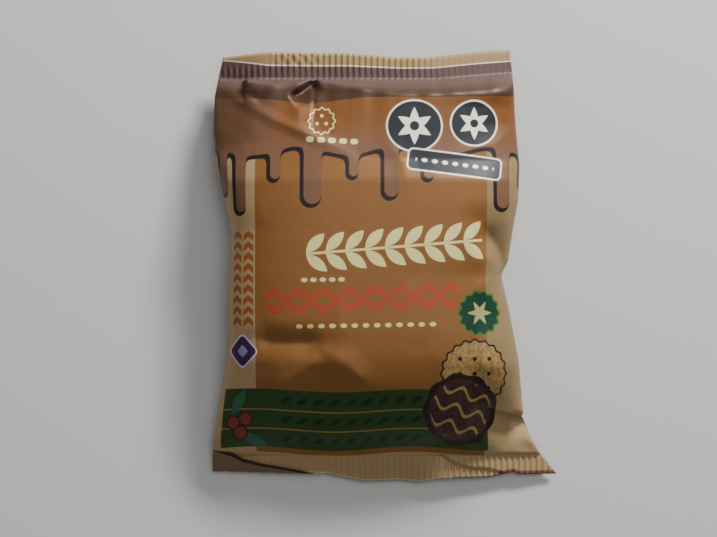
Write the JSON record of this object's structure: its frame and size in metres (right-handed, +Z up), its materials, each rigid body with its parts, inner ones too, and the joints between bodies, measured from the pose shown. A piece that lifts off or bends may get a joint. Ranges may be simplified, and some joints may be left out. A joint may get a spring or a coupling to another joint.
{
  "type": "sealed biscuit flow-wrap pack",
  "caption": "Shut pillow-shaped film pack round a filled biscuit, with crimped end seals, loose folds and a turned-up corner, lying face up.",
  "frame": {"origin": "middle of the pack's box, on the surface that it lies on", "axes": "+X across the pack, +Y along it towards the top seal, +Z up out of the printed front"},
  "size_m": [0.098, 0.1236, 0.0243],
  "materials": {
    "film": "printed film laminate with a satin sheen: caramel front panel, chocolate top band, gold sides and ends"
  },
  "bodies": {
    "root": {"pack": "film"}
  },
  "joints": []
}
